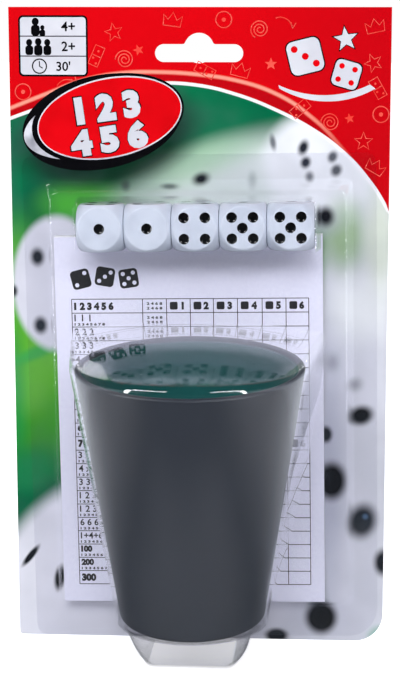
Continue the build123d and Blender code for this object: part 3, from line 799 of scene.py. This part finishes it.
def print_fact_box(black, white):
    """A box of facts: how old, how many, how long."""
    x, z, width, height, corner, edge = -49.8, 208.9, 23.8, 20.6, 1.6, 0.65
    inner_width = width - 2 * edge
    pitch, line, pen, thin = 6.7, 0.35, 0.45, 0.02
    printed("fact_box_edge", "card", black, [(bar(width, height, corner), x, z, 0, 1)])
    printed("fact_box_field", "card", white, [
        (bar(inner_width, height - 2 * edge, corner - 0.5), x, z, 0, 2)])
    facts = [(bar(inner_width, line), x, 212.2 - row * pitch, 0, 3) for row in (0, 1)]
    for row, (text, text_x) in enumerate((("4+", -44.6), ("2+", -44.6), ("30'", -46.4))):
        facts.append((figures(text, 3.3, bold=thin), text_x, 215.5 - row * pitch, 0, 3))
    clock = (-54.6, 202.1, 0, 3)
    facts.append((stroke(full_circle(2.4), 0.55, closed=True), *clock))
    facts.append((stroke([(0, 1.7), (0, 0), (1.1, -0.7)], pen), *clock))
    # people: x and z of the neck, and size
    for px, pz, size in ((-55.8, 215.2, 1.25), (-53.4, 213.9, 0.78), (-58.0, 208.4, 1.12),
                         (-54.9, 208.5, 1.2), (-51.8, 208.4, 1.12)):
        facts.append((oval(0.95 * size, 1.05 * size, 24), px, pz + 1.5 * size, 0, 3))
        facts.append((bar(2.4 * size, 2.9 * size, 0.85 * size), px, pz - 0.85 * size, 0, 3))
    printed("facts", "card", black, facts)


def print_motif(black, white, red):
    """A white motif with a thin black edge: two dice, a star, and a swing under them."""
    # each die: x, z and turn, side, corner, reach and radius of its dots, and their places
    dice = (((36.0, 205.6, 14), 11.4, 2.3, 3.1, 1.15, ((-1, 1), (0, 0), (1, -1))),
            ((50.0, 199.6, -16), 9.0, 1.9, 2.3, 0.95, ((-1, -1), (-1, 1), (1, -1), (1, 1))))
    star = (49.6, 211.4, 8)
    swing = (arc(32.5, 240, 300, x=43.5, y=223.0)
             + arc(36.0, 296, 245, x=42.2, y=228.6))
    edge = 0.45
    printed("motif_edges", "card", black, [
        (bar(side + 2 * edge, side + 2 * edge, corner + 0.3), *place, 1)
        for place, side, corner, *_ in dice] + [(filled(star_points(5.0)), *star, 1)])
    printed("motif", "card", white, [
        (bar(side, side, corner), *place, 2) for place, side, corner, *_ in dice]
        + [(filled(star_points(4.2)), *star, 2), (filled(swing), 0, 0, 0, 2)])
    dots = []
    for place, _, _, reach, radius, places in dice:
        dots += dots_on(places, reach, radius, 28, *place, 3)
    printed("motif_dots", "card", red, dots)


def print_pen_drawings(salmon):
    """Pen drawings scattered over the red: stars, spirals, rings, crowns, arrows, dominoes."""
    pen = 0.4
    crown = stroke([(-2.9, -2.0), (-3.2, 1.6), (-1.5, 0.1), (0, 2.6), (1.5, 0.1), (3.2, 1.6),
                    (2.9, -2.0)], pen, closed=True)
    star = stroke(star_points(3.2), pen, closed=True)
    spiral = stroke(arc(0.5, 0, 900, 60, growth=5.4), pen)
    ring = stroke(full_circle(2.7), pen, closed=True)
    dot = oval(0.7, 0.7, 20)
    shaft = stroke(arc(4.2, 150, 50), pen)
    tip = stroke([(1.2, 4.3), (3.0, 3.1), (2.6, 5.2)], pen)
    domino = stroke([(-1.7, -3.4), (1.7, -3.4), (1.7, 3.4), (-1.7, 3.4)], pen, closed=True)
    bridge = stroke([(-1.7, 0), (1.7, 0)], pen)
    drawings = [
        (star, -29.0, 213.5, 12, 1), (star, 59.0, 203.4, 24, 1), (star, 56.0, 177.0, 0, 1),
        (crown, -9.0, 217.6, -8, 1), (crown, 59.4, 215.6, 12, 1), (crown, 14.0, 200.8, -14, 1),
        (crown, 60.2, 168.4, -30, 1), (spiral, -25.4, 204.4, 0, 1), (spiral, 20.6, 214.6, 60, 1),
        (spiral, 44.6, 183.4, 0, 1),
    ]
    for x, z in ((8.4, 217.8), (-60.4, 193.4), (61.8, 186.2)):
        drawings += [(ring, x, z, 0, 1), (dot, x, z, 0, 1)]
    for x, z, turn in ((-45.0, 193.4, 0), (27.4, 214.4, -40)):
        drawings += [(shaft, x, z, turn, 1), (tip, x, z, turn, 1)]
    for x, z, turn, radius in ((-20.6, 207.6, 20, 2.0), (24.4, 203.0, 0, 2.2),
                               (51.2, 184.8, 12, 1.8)):
        drawings.append((filled(star_points(radius)), x, z, turn, 1))
    for x, z, turn in ((-35.0, 205.6, -24), (2.0, 200.8, 62), (34.4, 188.0, -50),
                       (60.6, 195.0, 30)):
        drawings += [(domino, x, z, turn, 1), (bridge, x, z, turn, 1)]
        drawings += dots_on(((0, 1.7), (-0.8, -1.0), (0.8, -2.4)), 1.0, 0.38, 16, x, z, turn, 1)
    printed("pen_drawings", "card", salmon, drawings)


def print_card():
    """All print on the card, in offset inks under its varnish: even colour with its soft gloss."""
    black = plain_material("varnished_black_ink", "#050508", "#09090c", 12.0, VARNISH_ROUGHNESS)
    white = plain_material("varnished_white_print", "#c2c3cc", "#cccdd5", 12.0, VARNISH_ROUGHNESS)
    red = plain_material("varnished_red_ink", "#c40008", "#d4000c", 14.0, VARNISH_ROUGHNESS)
    salmon = plain_material("varnished_salmon_ink", "#dc3a30", "#e4584c", 8.0, VARNISH_ROUGHNESS)
    silver = plain_material("varnished_pale_grey_ink", "#7c7d88", "#d2d3dc", 7.0,
                            VARNISH_ROUGHNESS)
    print_badge(black, white, red, silver)
    print_fact_box(black, white)
    print_motif(black, white, red)
    print_pen_drawings(salmon)


# Print on the pad

# The score table: its rows are even, its columns are not.
TABLE_TOP, TABLE_BOTTOM, TABLE_ROWS = 123.2, 21.2, 21
TABLE_COLUMNS = [-44.4, -19.8, -11.5, -3.3, 4.7, 13.0, 21.5, 29.7, 37.5]
TABLE_LINE = 0.27
# The label of each row. The bold ones head and close the two halves, and small print stands under
# all but those that stand alone.
TABLE_LABELS = [
    "1 2 3 4 5 6", "1 1 1", "2 2 2", "3 3 3", "4 4 4", "5 5 5", "6 6 6", "1+2+3", "4+5+6",
    "63 +35", "7 8 9 10", "3 x 1", "4 x 1", "3 3 2 2 2", "1 2 3 4", "1 2 3 4 5", "6 6 6 6 6",
    "1+4+6", "100", "200", "300"]
BOLD_ROWS = (0, 7, 8, 9, 10, 18, 19, 20)
LONE_ROWS = (0, 10, 20)
HEADING_ROWS = (0, 10)
BOLD, REGULAR = 0.07, 0.02


def table_lines():
    """The lines between the rows and columns."""
    left, right = TABLE_COLUMNS[0], TABLE_COLUMNS[-1]
    pitch = (TABLE_TOP - TABLE_BOTTOM) / TABLE_ROWS
    level = [(bar(right - left, TABLE_LINE), (left + right) / 2, TABLE_TOP - row * pitch, 0, 1)
             for row in range(TABLE_ROWS + 1)]
    upright = [(bar(TABLE_LINE, TABLE_TOP - TABLE_BOTTOM), x, (TABLE_TOP + TABLE_BOTTOM) / 2, 0, 1)
               for x in TABLE_COLUMNS]
    return level + upright


def table_row(row, z):
    """What is printed in one row, whose middle is at height z."""
    left = TABLE_COLUMNS[0]
    alone = row in LONE_ROWS
    label = figures(TABLE_LABELS[row], 2.8 if alone else 2.4,
                    bold=BOLD if row in BOLD_ROWS else REGULAR)
    half = max(v.co.x for v in label.vertices)
    cells = [(label, left + 0.8 + half, z if alone else z + 0.75, 0, 1)]
    if not alone:
        small_print = figures("1 2 3 4 5 6 7 8", 0.95, 10.6, bold=0.05)
        cells.append((small_print, left + 6.1, z - 1.5, 0, 1))
    for off in (0.8, -0.8):
        note = figures("2 4 6 8", 1.0, 5.4, bold=0.04)
        cells.append((note, (TABLE_COLUMNS[1] + TABLE_COLUMNS[2]) / 2, z + off, 0, 1))
    if row in HEADING_ROWS:
        for number, (near, far) in enumerate(zip(TABLE_COLUMNS[2:], TABLE_COLUMNS[3:]), 1):
            cells.append((bar(2.7, 2.7, 0.5), near + 2.5, z, 0, 1))
            heading = figures(str(number), 2.7, bold=BOLD)
            cells.append((heading, (near + far) / 2 + 1.5, z, 0, 1))
    return cells


def print_pad():
    """The score table and three small dice above it, with numbers only."""
    # one dry black ink on uncoated paper: matt, its edges a little soft
    black = plain_material("black_ink_on_paper", "#0b0b10", "#17171d", 1.2, 0.7)
    paper = plain_material("bare_paper_in_print", "#dcddf0", "#e2e3f4", 1.2, 0.85)
    pitch = (TABLE_TOP - TABLE_BOTTOM) / TABLE_ROWS
    table = table_lines()
    for row in range(TABLE_ROWS):
        table += table_row(row, TABLE_TOP - (row + 0.5) * pitch)
    printed("pad_table", "pad", black, table)
    faces = {2: ((-1, -1), (1, 1)), 3: ((-1, -1), (0, 0), (1, 1)),
             5: ((-1, -1), (1, 1), (-1, 1), (1, -1), (0, 0))}
    squares, dots = [], []
    for place, count in (((-41.0, 130.2, 14), 2), ((-32.6, 131.0, -10), 3),
                         ((-24.4, 130.4, 8), 5)):
        squares.append((bar(6.6, 6.6, 1.3), *place, 1))
        dots += dots_on(faces[count], 1.75, 0.72, 20, *place, 2)
    printed("pad_title_dice", "pad", black, squares)
    printed("pad_title_dots", "pad", paper, dots)


place_camera()
hang_lamps()
build_room()
lay_floor()
dress_nodes()
lay_blister()
print_card()
print_pad()
